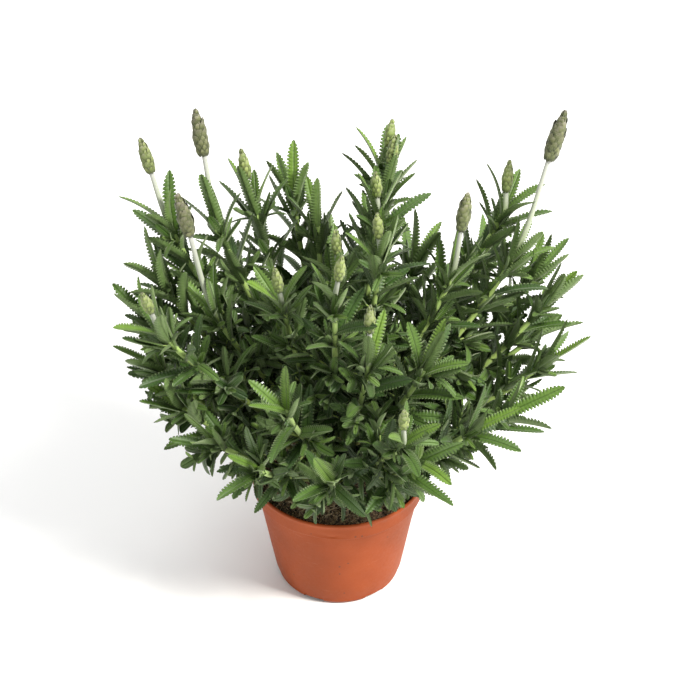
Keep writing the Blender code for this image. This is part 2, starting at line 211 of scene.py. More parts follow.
def grow(name, data, tree, **settings):
    # runs a geometry tree over a curve or mesh and freezes the result
    piece = addPiece(name + "Draft", data)
    live = piece.modifiers.new("grow", "NODES")
    live.node_group = tree
    sockets = {
        item.name: item.identifier
        for item in tree.interface.items_tree
        if item.item_type == "SOCKET" and item.in_out == "INPUT"
    }
    for key, value in settings.items():
        live[sockets[key]] = value
    return freeze(piece, name)


def pointCurve(name, points):
    data = bpy.data.curves.new(name, "CURVE")
    data.dimensions = "3D"
    line = data.splines.new("POLY")
    line.points.add(len(points) - 1)
    for spot, point in zip(line.points, points):
        spot.co = (*point, 1.0)
    return data


def newTree(name, inputs):
    tree = bpy.data.node_groups.new(name, "GeometryNodeTree")
    tree.interface.new_socket("Geometry", in_out="INPUT", socket_type="NodeSocketGeometry")
    for label, kind, value in inputs:
        socket = tree.interface.new_socket(label, in_out="INPUT", socket_type="NodeSocket" + kind)
        if value is not None:
            socket.default_value = value
    tree.interface.new_socket("Geometry", in_out="OUTPUT", socket_type="NodeSocketGeometry")
    start = put(tree, "NodeGroupInput")
    end = put(tree, "NodeGroupOutput")
    return tree, start, end


def shelf(name, pieces):
    # a collection of models that only the geometry trees read
    made = bpy.data.collections.new(name)
    for piece in pieces:
        made.objects.link(piece)
        bpy.context.scene.collection.objects.unlink(piece)
    return made


# how the plant stands: the same rules as the solids, in mm and degrees

pot = dict(
    height=94, rimRadius=65, baseRadius=46.5, wall=1.2, lipHeight=3.0, lipOverhang=0.9,
    collarHeight=14.5, collarDraft=0.6, stepWidth=2.4, stepDrop=2.4, baseRounding=4.5, steps=144,
    notchCount=6, notchWidth=16, notchHeight=3.6, notchReach=9, notchTurn=-54, notchRounding=0.6,
)
soil = dict(belowRim=6, mound=4, gap=0.3)
crown = dict(radius=24, dome=13, seat=8, seatRounding=2)
stem = dict(
    gap=0.3, footSpacing=5.8, feetShare=0.9, feetCore=0.12, feetLean=0.87, stiffness=0.36, tipStiffness=0.3,
    upturn=0.35, stalkStiffness=0.35, headStiffness=0.34, headUpturn=0.12,
)

# tip of each shoot: compass angle, reach, height above the lip
floweringTips = [
    (163, 123, 191), (147, 101, 178), (180, 85, 138), (-162, 126, 152),
    (127, 100, 179), (-143, 47, 168), (-87, 12, 180), (-92, 50, 186), (69, 91, 201),
    (62, 72, 206), (45, 40, 206), (-27, 33, 198), (-70, 62, 140), (-66, 109, 104),
    (11, 81, 160), (25, 130, 191), (14, 127, 166),
]
leafyTips = [
    (178, 133, 134), (-172, 128, 109), (-161, 116, 88), (-143, 106, 76),
    (-123, 101, 70), (108, 106, 172), (36, 124, 132), (25, 157, 128),
    (14, 154, 124), (0, 147, 98), (-16, 124, 79), (-32, 110, 82), (-57, 101, 76),
    (-92, 100, 71), (-113, 88, 118), (-40, 78, 130), (63, 124, 107), (92, 144, 88),
    (124, 145, 96), (174, 123, 158), (102, 71, 169), (18, 148, 86),
]
# foot of each flower head, and the head's length
flowerHeads = [
    (161, 137, 230, 27), (142, 120, 226, 36), (180, 101, 207, 36),
    (-160, 134, 175, 21), (126, 111, 197, 22), (-142, 50, 182, 21),
    (-91, 11, 199, 19), (-89, 51, 205, 20), (69, 101, 221, 20), (62, 79, 221, 22),
    (48, 41, 219, 19), (-28, 32, 215, 20), (-70, 64, 169, 23), (-67, 114, 122, 20),
    (13, 88, 198, 31), (27, 134, 204, 23), (17, 153, 240, 40),
]


def at(angle, reach, height):
    turn = math.radians(angle)
    return Vector((reach * math.cos(turn), reach * math.sin(turn), pot["height"] + height)) * mm


def soilHeight(radius):
    share = min(radius / (pot["rimRadius"] - pot["wall"]), 1.0)
    return pot["height"] - soil["belowRim"] + soil["mound"] * (1.0 - share * share)


def crownSurface(radius):
    share = radius / crown["radius"]
    rise = math.sqrt(max(1.0 - share * share, 0.0))
    normal = Vector((share / crown["radius"], 0.0, rise / crown["dome"])).normalized()
    return soilHeight(crown["radius"]) + crown["dome"] * rise, normal


def spreadFeet(tips):
    feet = []
    for angle, reach, height in tips:
        # the more a shoot leans out, the further from the middle it stands
        lean = math.atan2(reach, height)
        way = at(angle, 1, 0).xy.normalized().to_3d()
        share = min(stem["feetCore"] + stem["feetLean"] * lean, stem["feetShare"])
        feet.append(way * crown["radius"] * share * mm)
    spacing = stem["footSpacing"] * mm
    most = stem["feetShare"] * crown["radius"] * mm
    settling = 200  # rounds of pushing crowded feet apart
    for _ in range(settling):
        for i, one in enumerate(feet):
            for other in feet[i + 1:]:
                apart = other - one
                short = spacing - apart.length
                if short > 0:
                    push = apart.normalized() * short * 0.5
                    one -= push
                    other += push
        for foot in feet:
            if foot.length > most:
                foot *= most / foot.length
    return feet


def bezier(points, share):
    a, b, c, d = points
    left = 1.0 - share
    return a * left**3 + b * (3 * left**2 * share) + c * (3 * left * share**2) + d * share**3


def bezierSlope(points, share):
    a, b, c, d = points
    left = 1.0 - share
    return ((b - a) * left**2 + (c - b) * (2 * left * share) + (d - c) * share**2).normalized()


def shootCurve(foot, tip):
    height, normal = crownSurface(foot.length / mm)
    leave = Quaternion(up, math.atan2(foot.y, foot.x)) @ normal
    start = Vector((foot.x, foot.y, height * mm)) + leave * stem["gap"] * mm
    span = (tip - start).length
    arrive = ((tip - start).normalized() + up * stem["upturn"]).normalized()
    return [start, start + leave * span * stem["stiffness"], tip - arrive * span * stem["tipStiffness"], tip]


def stalkCurve(shoot, head):
    arrive = bezierSlope(shoot, 1.0)
    start = shoot[3] + arrive * stem["gap"] * mm
    span = (head - start).length
    rise = ((head - start).normalized() + up * stem["headUpturn"]).normalized()
    bend = start + arrive * span * stem["stalkStiffness"]
    return [start, bend, head - rise * span * stem["headStiffness"], head]


def sampled(points, count):
    return [bezier(points, i / (count - 1)) for i in range(count)]


# materials

def terracottaPlastic():
    made, tree, shader = newMaterial("terracottaPlastic")
    place = objectPlace(tree)
    cloud = noiseAt(tree, place, 22.0, 4.0, 0.55)
    fine = noiseAt(tree, place, 420.0, 3.0, 0.6)
    clay = ramp(tree, cloud, (0.25, (0.225, 0.044, 0.009)), (0.55, (0.285, 0.054, 0.011)),
                (0.8, (0.34, 0.07, 0.016)))
    # pale scuffs that run round the pot
    scuff = noiseAt(tree, stretched(tree, place, (30.0, 30.0, 160.0)), 1.6, 5.0, 0.7)
    worn = mixColour(tree, times(tree, fade(tree, scuff, 0.62, 0.74), 0.22), clay, (0.52, 0.22, 0.13))
    # specks of peat
    speck = feed(tree, put(tree, "ShaderNodeTexVoronoi", feature="F1"), Vector=place, Scale=150.0)
    dot = calc(tree, "LESS_THAN", out(speck, "Distance"), 0.12)
    sparse = calc(tree, "GREATER_THAN", noiseAt(tree, place, 60.0, 1.0), 0.6)
    dirty = mixColour(tree, times(tree, times(tree, dot, sparse), 0.75), worn, (0.09, 0.04, 0.025))
    feed(tree, shader, BaseColor=dirty, Roughness=fade(tree, fine, 0.2, 0.8, 0.46, 0.64))
    shader.inputs["Specular IOR Level"].default_value = 0.18
    bump(tree, shader, plus(tree, fine, times(tree, cloud, 3.0)), 0.18, 0.0004)
    return made


def peat():
    made, tree, shader = newMaterial("peat")
    place = objectPlace(tree)
    coarse = noiseAt(tree, place, 160.0, 5.0, 0.7)
    fine = noiseAt(tree, place, 900.0, 3.0, 0.7)
    clods = ramp(tree, coarse, (0.3, (0.02, 0.013, 0.008)), (0.52, (0.085, 0.052, 0.03)),
                 (0.72, (0.24, 0.155, 0.09)))
    grit = ramp(tree, fine, (0.3, (0.01, 0.007, 0.004)), (0.75, (0.13, 0.085, 0.05)))
    feed(tree, shader, BaseColor=mixColour(tree, 0.35, clods, grit), Roughness=0.95)
    bump(tree, shader, plus(tree, coarse, fine), 0.8, 0.0015)
    return made


def peatBits(name, dark, light):
    made, tree, shader = newMaterial(name)
    grain = noiseAt(tree, objectPlace(tree), 700.0, 3.0, 0.6)
    mottled = plus(tree, times(tree, attribute(tree, "bitTone"), 0.75), times(tree, grain, 0.25))
    feed(tree, shader, BaseColor=ramp(tree, mottled, (0.15, dark), (0.9, light)), Roughness=0.9)
    bump(tree, shader, grain, 0.5, 0.0005)
    return made


def bark():
    made, tree, shader = newMaterial("bark")
    grain = noiseAt(tree, stretched(tree, objectPlace(tree), (260.0, 260.0, 60.0)), 1.0, 5.0, 0.65)
    brown = ramp(tree, grain, (0.3, (0.035, 0.022, 0.013)), (0.7, (0.2, 0.14, 0.085)))
    feed(tree, shader, BaseColor=brown, Roughness=0.9)
    bump(tree, shader, grain, 0.7, 0.001)
    return made


def mottledRise(tree, mottle):
    # the height up a stem, its bands broken up by the mottle
    return plus(tree, attribute(tree, "stemRise"), times(tree, minus(tree, mottle, 0.5), 0.3))


def greenStem():
    made, tree, shader = newMaterial("greenStem")
    mottle = noiseAt(tree, objectPlace(tree), 240.0, 3.0, 0.6)
    colour = ramp(tree, mottledRise(tree, mottle), (0.0, (0.13, 0.10, 0.035)), (0.15, (0.2, 0.22, 0.05)),
                  (0.4, (0.28, 0.38, 0.08)), (1.0, (0.33, 0.47, 0.13)))
    feed(tree, shader, BaseColor=colour, Roughness=0.62)
    makeDowny(shader, 0.25, 0.5)
    bump(tree, shader, mottle, 0.35, 0.0005)
    return made


def bladeChart(tree):
    # where a point lies on its blade: 0 midrib to 1 margin, and 0 base to 1 tip
    split = put(tree, "ShaderNodeSeparateXYZ")
    tree.links.new(out(put(tree, "ShaderNodeUVMap", uv_map="leafMap")), split.inputs[0])
    return calc(tree, "ABSOLUTE", scaled(tree, split.outputs[0], 2.0, -1.0)), split.outputs[1]


def leafGreen():
    made, tree, shader = newMaterial("leafGreen")
    edge, along = bladeChart(tree)
    mottle = noiseAt(tree, objectPlace(tree), 320.0, 4.0, 0.6)
    # one side vein to each tooth of a big leaf, swept back a little, strong only near the margin
    veinTurns = 113.1
    swept = minus(tree, along, times(tree, edge, 0.02))
    lobe = scaled(tree, calc(tree, "SINE", times(tree, swept, veinTurns)), 0.5, 0.5)
    outer = fade(tree, edge, 0.35, 0.95)
    patch = plus(tree, times(tree, attribute(tree, "leafTone"), 0.7), times(tree, mottle, 0.3))
    old = ramp(tree, patch, (0.15, (0.02, 0.054, 0.006)), (0.5, (0.038, 0.09, 0.01)),
               (0.85, (0.074, 0.14, 0.022)))
    young = ramp(tree, mottle, (0.3, (0.12, 0.22, 0.02)), (0.7, (0.18, 0.3, 0.038)))
    top = mixColour(tree, attribute(tree, "leafYouth"), old, young)
    # painted shade darkens the sunken vein furrow between the tooth lobes, most near the margin
    furrowShade = times(tree, minus(tree, 1.0, lobe), scaled(tree, outer, 0.85, 0.12))
    furrowShaded = mixColour(tree, furrowShade, top, (0.008, 0.026, 0.003))
    # painted shade along the midrib groove
    ribShade = fade(tree, edge, 0.0, 0.1, 1, 0)
    ribShaded = mixColour(tree, times(tree, ribShade, 0.3), furrowShaded, (0.03, 0.07, 0.012))
    # short pale hairs and a painted highlight whiten the crest of each tooth
    crest = times(tree, fade(tree, edge, 0.74, 0.98), scaled(tree, lobe, 0.75, 0.05))
    hairsAndHighlight = mixColour(tree, crest, ribShaded, (0.36, 0.44, 0.22))
    pale = ramp(tree, mottle, (0.3, (0.08, 0.14, 0.034)), (0.7, (0.14, 0.21, 0.066)))
    under = times(tree, attribute(tree, "underSide"), 0.8)
    feed(tree, shader, BaseColor=mixColour(tree, under, hairsAndHighlight, pale), Roughness=0.5)
    shader.inputs["Specular IOR Level"].default_value = 0.5
    shader.inputs["Sheen Tint"].default_value = (0.85, 0.95, 0.65, 1.0)
    makeDowny(shader, 0.22, 0.4)
    # each half is puffed between the midrib groove and the margin
    puff = calc(tree, "SINE", times(tree, calc(tree, "POWER", edge, 0.55), math.pi))
    wrinkle = times(tree, lobe, scaled(tree, outer, 0.85, 0.1))
    swell = plus(tree, times(tree, puff, 1.3), plus(tree, wrinkle, times(tree, mottle, 0.6)))
    bump(tree, shader, swell, 0.8, 0.0008)
    return made


def budScaleGreen():
    made, tree, shader = newMaterial("budScale")
    edge, along = bladeChart(tree)
    tone = attribute(tree, "budTone")
    age = attribute(tree, "budAge")
    down = noiseAt(tree, objectPlace(tree), 1100.0, 3.0, 0.7)
    young = ramp(tree, tone, (0.1, (0.18, 0.25, 0.05)), (0.9, (0.29, 0.36, 0.09)))
    grown = ramp(tree, tone, (0.1, (0.075, 0.092, 0.024)), (0.9, (0.145, 0.158, 0.052)))
    green = mixColour(tree, age, young, grown)
    mauve = ramp(tree, tone, (0.1, (0.1, 0.084, 0.066)), (0.9, (0.23, 0.2, 0.185)))
    ripe = mixColour(tree, age, (0.26, 0.27, 0.17), mauve)
    # scales ripen from their tips, and most of all high on the head
    tipShare = times(tree, fade(tree, along, 0.5, 0.95), scaled(tree, attribute(tree, "budRise"), 0.7, 0.25))
    colour = mixColour(tree, tipShare, green, ripe)
    # painted shade where one scale tucks under the next
    tuckShade = calc(tree, "MAXIMUM", fade(tree, edge, 0.7, 1.0), fade(tree, along, 0.3, 0.6, 1, 0))
    tuckShaded = mixColour(tree, times(tree, tuckShade, scaled(tree, age, 0.3, 0.55)), colour, (0.05, 0.06, 0.02))
    dusty = mixColour(tree, times(tree, fade(tree, down, 0.5, 0.75), 0.3), tuckShaded, (0.4, 0.4, 0.31))
    feed(tree, shader, BaseColor=dusty, Roughness=0.8)
    makeDowny(shader, 0.15, 0.5)
    bump(tree, shader, down, 0.6, 0.0004)
    return made


def paleStalk():
    made, tree, shader = newMaterial("paleStalk")
    down = noiseAt(tree, objectPlace(tree), 500.0, 3.0, 0.6)
    colour = ramp(tree, mottledRise(tree, down), (0.0, (0.25, 0.34, 0.12)), (0.35, (0.37, 0.41, 0.29)),
                  (1.0, (0.43, 0.44, 0.4)))
    feed(tree, shader, BaseColor=colour, Roughness=0.7)
    makeDowny(shader, 0.4, 0.5)
    bump(tree, shader, down, 0.4, 0.0004)
    return made


finish = dict(
    pot=terracottaPlastic(), peat=peat(), bark=bark(), stem=greenStem(), leaf=leafGreen(),
    bud=budScaleGreen(), stalk=paleStalk(),
    crumb=peatBits("peatCrumb", (0.014, 0.009, 0.006), (0.34, 0.22, 0.12)),
    fibre=peatBits("peatFibre", (0.2, 0.12, 0.06), (0.95, 0.76, 0.52)),
)
print("materials made")


# leaf and bud-scale models, base at the origin, growing up +Z, upper face towards -X

bigLeaf = dict(length=43, width=9.5, thick=1.5, teeth=18, toothDepth=0.37, neck=0.5, widest=0.45, blunt=3.6)
midLeaf = dict(length=25, width=7.0, thick=1.3, teeth=10, toothDepth=0.32, neck=0.42, widest=0.55, blunt=3.4)
smallLeaf = dict(length=18, width=7.6, thick=1.3, teeth=5, toothDepth=0.04, neck=0.34, widest=0.62, blunt=3.4)
budScale = dict(length=7.0, width=5.8, thick=0.9, teeth=4, toothDepth=0.0, neck=0.8, widest=0.4, blunt=2.0)
# shared by them all: how fast they widen, draw in and thin, and where a tooth rises and ends
blade = dict(spread=1.5, spreadPower=1.2, tipPower=0.7, shortening=0.45, thinning=0.5, rise=0.3, crest=0.82)


def makeBlade(name, size, arch=0.0, fold=0.2, twist=0.0, lean=0.0):
    # arch bends the tip outwards, fold lifts the margins, twist is in degrees
    bm = bmesh.new()
    chart = bm.loops.layers.uv.new("leafMap")
    under = bm.faces.layers.float.new("underSide")
    length, half = size["length"] * mm, size["width"] * mm / 2
    segments = size["teeth"]

    def halfWidth(v):
        # widens from the neck, then draws in to a rounded tip
        if v < size["widest"]:
            share = min(1.0, v / size["widest"] * blade["spread"])
            opened = math.sin(math.pi / 2 * share) ** blade["spreadPower"]
            return half * (size["neck"] + (1.0 - size["neck"]) * opened)
        share = (v - size["widest"]) / (1.0 - size["widest"])
        return half * (1.0 - share ** size["blunt"]) ** blade["tipPower"]

    def place(v, side, drop=0.0):
        reach = halfWidth(v) * side
        turn = math.radians(twist) * v
        x = -fold * abs(reach) + drop
        y = reach
        bend = arch * v * v
        return Vector((
            length * bend + x * math.cos(turn) - y * math.sin(turn),
            y * math.cos(turn) + x * math.sin(turn) + lean * length * v * v,
            length * (v - blade["shortening"] * arch * arch * v**3),
        )), (0.5 + 0.5 * reach / half, v)

    spots = {}

    def vert(key, v, side, drop=0.0):
        if key not in spots:
            point, uv = place(v, side, drop)
            spots[key] = (bm.verts.new(point), uv)
        return spots[key]

    notch = 1.0 - size["toothDepth"]
    thick = size["thick"] * mm

    def row(i):
        v = i / segments
        taper = 1.0 - blade["thinning"] * v
        if i == segments:
            apex = vert("apex", 1.0, 0.0)
            return dict(top=apex, bottom=apex, left=apex, right=apex)
        return dict(
            top=vert(("t", i), v, 0.0), bottom=vert(("b", i), v, 0.0, thick * taper),
            left=vert(("l", i), v, -notch), right=vert(("r", i), v, notch),
        )

    def face(corners, isUnder):
        unique = list(dict.fromkeys(corner[0] for corner in corners))
        if len(unique) < 3:
            return
        made = bm.faces.new(unique)
        made[under] = float(isUnder)
        charts = {corner[0]: corner[1] for corner in corners}
        for loop in made.loops:
            loop[chart].uv = charts[loop.vert]

    for i in range(segments):
        low, high = row(i), row(i + 1)
        for side, mark in ((-1.0, "left"), (1.0, "right")):
            # each tooth is blunt, with a narrow gap before the next one
            rise = vert((mark, "rise", i), (i + blade["rise"]) / segments, side)
            crest = vert((mark, "crest", i), (i + blade["crest"]) / segments, side)
            for middle, isUnder in (("top", False), ("bottom", True)):
                face([low[middle], low[mark], rise, crest, high[mark], high[middle]], isUnder)
    first = row(0)
    face([first["top"], first["left"], first["bottom"], first["right"]], True)
    bmesh.ops.recalc_face_normals(bm, faces=bm.faces)
    for line in bm.edges:
        faces = line.link_faces
        if len(faces) == 2 and faces[0][under] != faces[1][under]:
            line.smooth = False
    return addPiece(name, meshFrom(bm, name))


bigLeaves = shelf("bigLeaves", [
    makeBlade("leafStraight", bigLeaf, arch=0.04, fold=0.3),
    makeBlade("leafArched", bigLeaf, arch=0.28, fold=0.25, twist=14),
    makeBlade("leafTurned", bigLeaf, arch=0.12, fold=0.35, twist=-35, lean=0.05),
    makeBlade("leafSwept", bigLeaf, arch=0.2, fold=0.2, lean=-0.08, twist=25),
    makeBlade("leafCupped", bigLeaf, arch=-0.1, fold=0.42, twist=-10),
])
midLeaves = shelf("midLeaves", [
    makeBlade("midStraight", midLeaf, arch=0.08, fold=0.35),
    makeBlade("midArched", midLeaf, arch=0.35, fold=0.25, twist=20),
    makeBlade("midCupped", midLeaf, arch=-0.12, fold=0.4, lean=0.06),
])
smallLeaves = shelf("smallLeaves", [
    makeBlade("smallSpoon", smallLeaf, arch=0.18, fold=0.25),
    makeBlade("smallCurled", smallLeaf, arch=0.5, fold=0.15, twist=20),
    makeBlade("smallCupped", smallLeaf, arch=-0.15, fold=0.5, lean=0.1),
])
budScales = shelf("budScales", [
    makeBlade("scaleClosed", budScale, arch=-0.5, fold=0.5),
    makeBlade("scaleLoose", budScale, arch=-0.38, fold=0.42, twist=8),
])
print("leaf models made")


# geometry tree for a shoot: a stem, pairs of big leaves up it, and side tufts in their axils

def sampleCurve(tree, curve, factor):
    sample = put(tree, "GeometryNodeSampleCurve", mode="FACTOR", use_all_curves=True)
    tree.links.new(curve, sample.inputs["Curves"])
    return feed(tree, sample, Factor=factor)


def pointsAlong(tree, curve, count, pairs, low, high, crowd):
    # count points on the curve, two to a node, closer together towards the top
    index = out(put(tree, "GeometryNodeInputIndex"))
    rank = calc(tree, "FLOOR", calc(tree, "DIVIDE", index, 2.0))
    share = calc(tree, "DIVIDE", rank, calc(tree, "MAXIMUM", minus(tree, pairs, 1.0), 1.0))
    crowded = minus(tree, 1.0, calc(tree, "POWER", minus(tree, 1.0, share), crowd))
    sample = sampleCurve(tree, curve, between(tree, crowded, low, high))
    points = feed(tree, put(tree, "GeometryNodePoints"), Count=count)
    placed = put(tree, "GeometryNodeSetPosition")
    feed(tree, placed, Geometry=out(points), Position=out(sample, "Position"))
    return out(placed), index, rank, share, out(sample, "Tangent"), out(sample, "Normal")


def randomBetween(tree, low, high, seed, offset):
    node = put(tree, "FunctionNodeRandomValue", data_type="FLOAT")
    feed(tree, node, Min=low, Max=high, Seed=plus(tree, seed, offset))
    return out(node)


def anyModel(tree, seed, offset):
    # a random number that picks one of a few models
    node = put(tree, "FunctionNodeRandomValue", data_type="INT")
    feed(tree, node, Min=0, Max=50, Seed=plus(tree, seed, offset))
    return out(node)


def placeModels(tree, points, models, pick, rotation, scale):
    # one of the models on every point
    shelved = put(tree, "GeometryNodeCollectionInfo")
    feed(tree, shelved, Collection=models, SeparateChildren=True, ResetChildren=True)
    placed = put(tree, "GeometryNodeInstanceOnPoints")
    for key, value in (("Points", points), ("Instance", out(shelved)), ("Instance Index", pick),
                       ("Rotation", rotation), ("Scale", scale)):
        tree.links.new(value, placed.inputs[key])
    placed.inputs["Pick Instance"].default_value = True
    return out(placed)


def realized(tree, instances):
    return out(feed(tree, put(tree, "GeometryNodeRealizeInstances"), Geometry=instances))


def painted(tree, geometry, material):
    return out(feed(tree, put(tree, "GeometryNodeSetMaterial"), Geometry=geometry, Material=material))


def gathered(tree, parts):
    join = put(tree, "GeometryNodeJoinGeometry")
    for part in reversed(parts):
        tree.links.new(part, join.inputs[0])
    return out(join)


def turnAbout(tree, rotation, axis, angle):
    by = feed(tree, put(tree, "FunctionNodeAxisAngleToRotation"), Axis=axis, Angle=angle)
    node = put(tree, "FunctionNodeRotateRotation", rotation_space="LOCAL")
    tree.links.new(rotation, node.inputs[0])
    tree.links.new(out(by), node.inputs[1])
    return node.outputs[0]


def facing(tree, tangent, normal, azimuth, tilt, roll):
    along = put(tree, "FunctionNodeAlignRotationToVector", axis="Z")
    feed(tree, along, Vector=tangent)
    side = put(tree, "FunctionNodeAlignRotationToVector", axis="X", pivot_axis="Z")
    feed(tree, side, Rotation=out(along), Vector=normal)
    turned = turnAbout(tree, out(side), (0.0, 0.0, 1.0), azimuth)
    tilted = turnAbout(tree, turned, (0.0, 1.0, 0.0), tilt)
    return turned, turnAbout(tree, tilted, (0.0, 0.0, 1.0), roll)


def keepTone(tree, geometry, name, value):
    node = put(tree, "GeometryNodeStoreNamedAttribute", data_type="FLOAT", domain="INSTANCE")
    feed(tree, node, Geometry=geometry, Name=name, Value=value)
    return out(node)


def between(tree, share, low, high):
    return scaled(tree, share, minus(tree, high, low), low)


def hump(tree, share, height):
    # adds height halfway up and nothing at the ends
    rise = times(tree, share, minus(tree, 1.0, share))
    return times(tree, rise, times(tree, height, 4.0))


def tube(tree, curve, corners, radius):
    ring = put(tree, "GeometryNodeCurvePrimitiveCircle", mode="RADIUS")
    feed(tree, ring, Resolution=corners, Radius=1.0)
    swept = put(tree, "GeometryNodeCurveToMesh")
    feed(tree, swept, Curve=curve, ProfileCurve=out(ring, "Curve"), Scale=radius, FillCaps=True)
    return out(swept)


def stalkMesh(tree, curve, footRadius, tipRadius, material):
    # a rounded stem, thicker at its foot, that remembers how high up it is
    rise = out(put(tree, "GeometryNodeSplineParameter"), "Factor")
    keep = put(tree, "GeometryNodeStoreNamedAttribute", data_type="FLOAT", domain="POINT")
    feed(tree, keep, Geometry=curve, Name="stemRise", Value=rise)
    return painted(tree, tube(tree, out(keep), 8, between(tree, rise, footRadius, tipRadius)), material)


# how far leaves stray from their rule, in radians and as a share of their size
stray = dict(azimuth=0.3, tilt=0.16, roll=0.35, small=0.84, large=1.14)
# below a leaning shoot a leaf that heads down stays small, and one that heads level is full size
hang = dict(down=-0.65, level=0.05)
# how late on the shoot leaves turn young, and how young they get
youth = dict(power=5.0, least=0.35, most=0.9)


def leafLayer(tree, start, curve, kind):
    # one layer of leaves or tufts, whose settings carry the layer's name
    def given(label):
        return start.outputs[kind + label]

    def strayed(low, high, step):
        return randomBetween(tree, low, high, seed, offset + step)

    seed = start.outputs["Seed"]
    offset = dict(leaf=0.0, lowTuft=100.0, highTuft=200.0)[kind]
    pairs = given("Pairs")
    points, index, rank, share, tangent, normal = pointsAlong(
        tree, curve, times(tree, pairs, 2.0), pairs, given("Low"), given("High"), given("Crowd"))
    # two opposite each other, and each pair a quarter turn on from the last
    side = times(tree, calc(tree, "MODULO", index, 2.0), math.pi)
    quarter = times(tree, rank, math.pi / 2)
    wander = strayed(-stray["azimuth"], stray["azimuth"], 1.0)
    azimuth = plus(tree, plus(tree, side, quarter), plus(tree, wander, given("Turn")))
    tilt = plus(tree, between(tree, share, given("LowAngle"), given("HighAngle")),
                strayed(-stray["tilt"], stray["tilt"], 2.0))
    roll = strayed(-stray["roll"], stray["roll"], 3.0)
    _, rotation = facing(tree, tangent, normal, azimuth, tilt, roll)
    size = between(tree, share, given("LowSize"), given("HighSize"))
    size = plus(tree, size, hump(tree, share, given("Hump")))
    size = times(tree, size, strayed(stray["small"], stray["large"], 4.0))
    pointing = feed(tree, put(tree, "FunctionNodeRotateVector"), Vector=(0.0, 0.0, 1.0), Rotation=rotation)
    heading = feed(tree, put(tree, "ShaderNodeSeparateXYZ"), Vector=out(pointing))
    hanging = put(tree, "ShaderNodeMapRange")
    feed(tree, hanging, Value=out(heading, "Z"), FromMin=hang["down"], FromMax=hang["level"],
         ToMin=start.outputs["Shade"], ToMax=1.0)
    size = times(tree, size, out(hanging))
    pick = anyModel(tree, seed, offset + 5.0)
    return placeModels(tree, points, given("Models"), pick, rotation, size), share


def layerInputs(kind, low, high):
    numbers = dict(Low=low, High=high, Crowd=1.4, Turn=0.0, LowAngle=1.3, HighAngle=0.4, LowSize=0.8,
                   HighSize=0.6, Hump=0.2)
    inputs = [(kind + "Pairs", "Int", 8)]
    inputs += [(kind + label, "Float", value) for label, value in numbers.items()]
    return inputs + [(kind + "Models", "Collection", None)]


def buildShootTree(name, withTufts):
    inputs = [
        ("Seed", "Int", 1), ("FootRadius", "Float", 1.3 * mm), ("TipRadius", "Float", 0.8 * mm),
        ("StemMaterial", "Material", None), ("LeafMaterial", "Material", None), ("Youth", "Float", 0.0),
        ("Shade", "Float", 1.0),
    ] + layerInputs("leaf", 0.3, 0.985)
    if withTufts:
        inputs += layerInputs("lowTuft", 0.1, 0.5) + layerInputs("highTuft", 0.5, 0.9)
    tree, start, end = newTree(name, inputs)
    given = start.outputs
    curve = given["Geometry"]
    parts = [stalkMesh(tree, curve, given["FootRadius"], given["TipRadius"], given["StemMaterial"])]
    leaves, share = leafLayer(tree, start, curve, "leaf")
    leaves = keepTone(tree, leaves, "leafTone", randomBetween(tree, 0.0, 1.0, given["Seed"], 20.0))
    # the last leaves are the youngest
    chance = randomBetween(tree, youth["least"], youth["most"], given["Seed"], 21.0)
    young = times(tree, calc(tree, "POWER", share, youth["power"]), chance)
    leaves = keepTone(tree, leaves, "leafYouth", calc(tree, "MAXIMUM", young, given["Youth"]))
    parts.append(painted(tree, realized(tree, leaves), given["LeafMaterial"]))
    for kind in ("lowTuft", "highTuft") if withTufts else ():
        tufts, _ = leafLayer(tree, start, curve, kind)
        parts.append(realized(tree, tufts))
    tree.links.new(gathered(tree, parts), end.inputs[0])
    return tree


tuftTree = buildShootTree("sideTuft", False)
shootTree = buildShootTree("leafyShoot", True)

# a side tuft: its stem, and how its leaves grow whatever their size
tuft = dict(footRadius=0.8, tipRadius=0.4, bend=0.25, tipSize=0.6)
tuftLeaves = dict(Low=0.2, High=0.98, Crowd=1.3, HighAngle=0.4, Hump=0.15)


def layerSettings(kind, **settings):
    return {kind + key: value for key, value in settings.items()}


def makeTuft(name, length, pairs, models, size, seed, youth, spread):
    bend = Vector((length * tuft["bend"], 0.0, 0.0))
    line = [Vector((0.0, 0.0, length * i / 5)) + bend * (i / 5) ** 2 for i in range(6)]
    leaves = layerSettings(
        "leaf", Pairs=pairs, Models=models, LowAngle=spread, LowSize=size, HighSize=size * tuft["tipSize"],
        **tuftLeaves,
    )
    return grow(
        name, pointCurve(name, line), tuftTree, Seed=seed, FootRadius=tuft["footRadius"] * mm,
        TipRadius=tuft["tipRadius"] * mm, StemMaterial=finish["stem"], LeafMaterial=finish["leaf"],
        Youth=youth, **leaves,
    )


roundTufts = shelf("roundTufts", [
    makeTuft("tuftShort", 14 * mm, 4, smallLeaves, 0.85, 11, 0.0, 1.0),
    makeTuft("tuftFull", 24 * mm, 5, smallLeaves, 1.0, 12, 0.1, 1.0),
    makeTuft("tuftLoose", 32 * mm, 6, smallLeaves, 1.05, 13, 0.0, 0.95),
    makeTuft("tuftToothed", 26 * mm, 4, midLeaves, 0.95, 16, 0.0, 0.9),
])
narrowTufts = shelf("narrowTufts", [
    makeTuft("tuftUpright", 12 * mm, 3, midLeaves, 1.0, 14, 0.2, 0.6),
    makeTuft("tuftLeafy", 16 * mm, 3, midLeaves, 1.15, 15, 0.1, 0.65),
])
print("tufts made")


# shoots

leafy = dict(footRadius=2.4, tipRadius=1.9, shade=0.45, turn=0.6)
